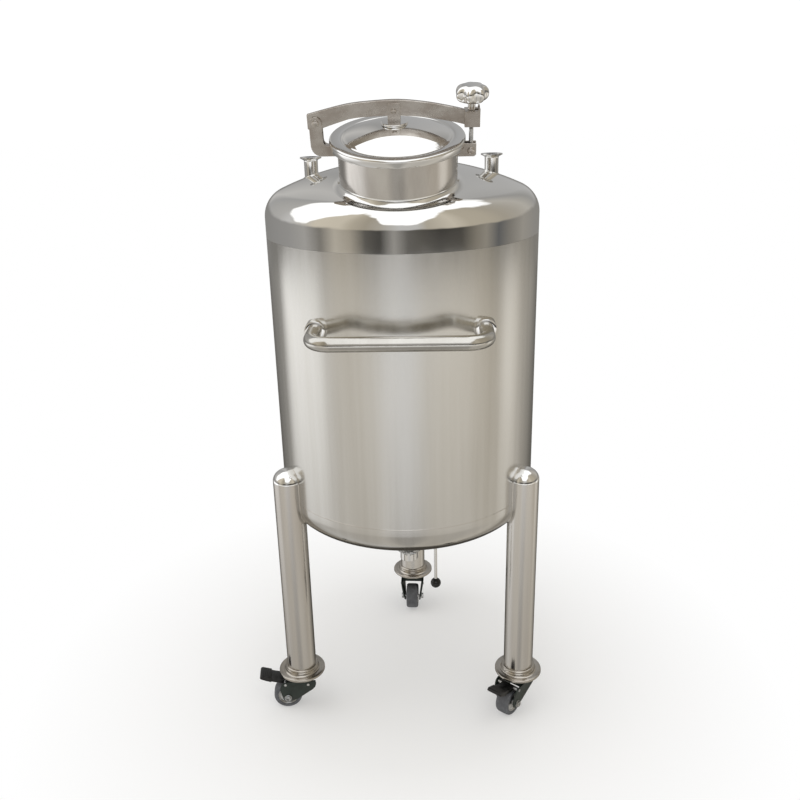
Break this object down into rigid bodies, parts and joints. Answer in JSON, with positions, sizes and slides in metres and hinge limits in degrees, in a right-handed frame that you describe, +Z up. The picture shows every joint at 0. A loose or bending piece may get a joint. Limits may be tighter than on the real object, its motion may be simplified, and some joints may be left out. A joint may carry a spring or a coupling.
{
  "type": "storage tank",
  "caption": "Small upright stainless steel storage tank with domed ends, a tilted clamped manway, a push handle, tube legs on castors and a bottom outlet valve with a lever.",
  "frame": {"origin": "centre of the bounding box on the ground, under the wheels", "axes": "+Z up along the vessel's axis; -Y towards the side with the push handle and the manway; +X to the right of a person who faces that side"},
  "size_m": [0.7569, 0.8018, 1.5877],
  "materials": {
    "shell": "satin stainless steel",
    "top_head": "mirror polished stainless steel",
    "bottom_head": "satin stainless steel",
    "manway_neck": "satin stainless steel",
    "hinge_ear": "warm satin stainless steel",
    "bolt_bracket": "warm satin stainless steel",
    "vent_left": "mirror polished stainless steel",
    "vent_right": "mirror polished stainless steel",
    "push_handle": "mirror polished stainless steel",
    "leg_left": "satin stainless steel",
    "leg_right": "satin stainless steel",
    "leg_rear": "satin stainless steel",
    "foot_left": "mirror polished stainless steel",
    "foot_right": "mirror polished stainless steel",
    "foot_rear": "mirror polished stainless steel",
    "swivel_left": "zinc grey",
    "swivel_right": "zinc grey",
    "swivel_rear": "zinc grey",
    "outlet_pipe": "mirror polished stainless steel",
    "clamp_upper": "zinc grey",
    "valve_body": "satin stainless steel",
    "clamp_lower": "zinc grey",
    "outlet_nozzle": "mirror polished stainless steel",
    "manway_lid": "mirror polished stainless steel",
    "lid_seal": "pale silicone rubber",
    "lid_clip": "warm satin stainless steel",
    "lid_arm": "warm satin stainless steel",
    "swing_bolt": "zinc grey",
    "star_knob": "mirror polished stainless steel",
    "valve_lever": "zinc grey",
    "lever_ball": "gloss black plastic",
    "fork_left": "dark green paint",
    "axle_left": "zinc grey",
    "hub_left": "zinc grey",
    "tyre_left": "grey rubber",
    "pedal_left": "black plastic",
    "fork_right": "dark green paint",
    "axle_right": "zinc grey",
    "hub_right": "zinc grey",
    "tyre_right": "grey rubber",
    "pedal_right": "black plastic",
    "fork_rear": "dark green paint",
    "axle_rear": "zinc grey",
    "hub_rear": "zinc grey",
    "tyre_rear": "grey rubber"
  },
  "bodies": {
    "tank": {"shell": "shell", "top_head": "top_head", "bottom_head": "bottom_head", "manway_neck": "manway_neck", "hinge_ear": "hinge_ear", "bolt_bracket": "bolt_bracket", "vent_left": "vent_left", "vent_right": "vent_right", "push_handle": "push_handle", "leg_left": "leg_left", "leg_right": "leg_right", "leg_rear": "leg_rear", "foot_left": "foot_left", "foot_right": "foot_right", "foot_rear": "foot_rear", "swivel_left": "swivel_left", "swivel_right": "swivel_right", "swivel_rear": "swivel_rear", "outlet_pipe": "outlet_pipe", "clamp_upper": "clamp_upper", "valve_body": "valve_body", "clamp_lower": "clamp_lower", "outlet_nozzle": "outlet_nozzle"},
    "lid": {"manway_lid": "manway_lid", "lid_seal": "lid_seal", "lid_clip": "lid_clip", "lid_arm": "lid_arm", "swing_bolt": "swing_bolt"},
    "knob": {"star_knob": "star_knob"},
    "lever": {"valve_lever": "valve_lever", "lever_ball": "lever_ball"},
    "castor_left": {"fork_left": "fork_left", "axle_left": "axle_left"},
    "wheel_left": {"hub_left": "hub_left", "tyre_left": "tyre_left"},
    "pedal_left": {"pedal_left": "pedal_left"},
    "castor_right": {"fork_right": "fork_right", "axle_right": "axle_right"},
    "wheel_right": {"hub_right": "hub_right", "tyre_right": "tyre_right"},
    "pedal_right": {"pedal_right": "pedal_right"},
    "castor_rear": {"fork_rear": "fork_rear", "axle_rear": "axle_rear"},
    "wheel_rear": {"hub_rear": "hub_rear", "tyre_rear": "tyre_rear"}
  },
  "joints": [
    {"name": "manway_open", "type": "hinge", "parent": "tank", "child": "lid", "pos_m": [-0.1416, -0.20546, 1.51571], "axis": [0, -0.9583, -0.2857], "range_deg": [0, 100]},
    {"name": "knob_turn", "type": "hinge", "parent": "lid", "child": "knob", "pos_m": [0.1819, -0.21374, 1.5435], "axis": [0, -0.2857, 0.9583], "continuous": true},
    {"name": "valve_turn", "type": "hinge", "parent": "tank", "child": "lever", "pos_m": [0.0774, 0.0049, 0.416], "axis": [-1, 0, 0], "range_deg": [0, 90]},
    {"name": "castor_swivel_left", "type": "hinge", "parent": "tank", "child": "castor_left", "pos_m": [-0.26272, -0.1626, 0.1], "axis": [0, 0, 1], "continuous": true},
    {"name": "wheel_spin_left", "type": "hinge", "parent": "castor_left", "child": "wheel_left", "pos_m": [-0.30441, -0.16772, 0.038], "axis": [0.1219, -0.9925, 0], "continuous": true},
    {"name": "brake_press_left", "type": "hinge", "parent": "castor_left", "child": "pedal_left", "pos_m": [-0.30838, -0.16821, 0.086], "axis": [0.1219, -0.9925, 0], "range_deg": [0, 12]},
    {"name": "castor_swivel_right", "type": "hinge", "parent": "tank", "child": "castor_right", "pos_m": [0.31752, -0.1626, 0.1], "axis": [0, 0, 1], "continuous": true},
    {"name": "wheel_spin_right", "type": "hinge", "parent": "castor_right", "child": "wheel_right", "pos_m": [0.29166, -0.1957, 0.038], "axis": [0.788, -0.6157, 0], "continuous": true},
    {"name": "brake_press_right", "type": "hinge", "parent": "castor_right", "child": "pedal_right", "pos_m": [0.2892, -0.19885, 0.086], "axis": [0.788, -0.6157, 0], "range_deg": [0, 12]},
    {"name": "castor_swivel_rear", "type": "hinge", "parent": "tank", "child": "castor_rear", "pos_m": [0.0274, 0.3399, 0.1], "axis": [0, 0, 1], "continuous": true},
    {"name": "wheel_spin_rear", "type": "hinge", "parent": "castor_rear", "child": "wheel_rear", "pos_m": [0.02593, 0.29793, 0.038], "axis": [0.9994, -0.0349, 0], "continuous": true}
  ]
}
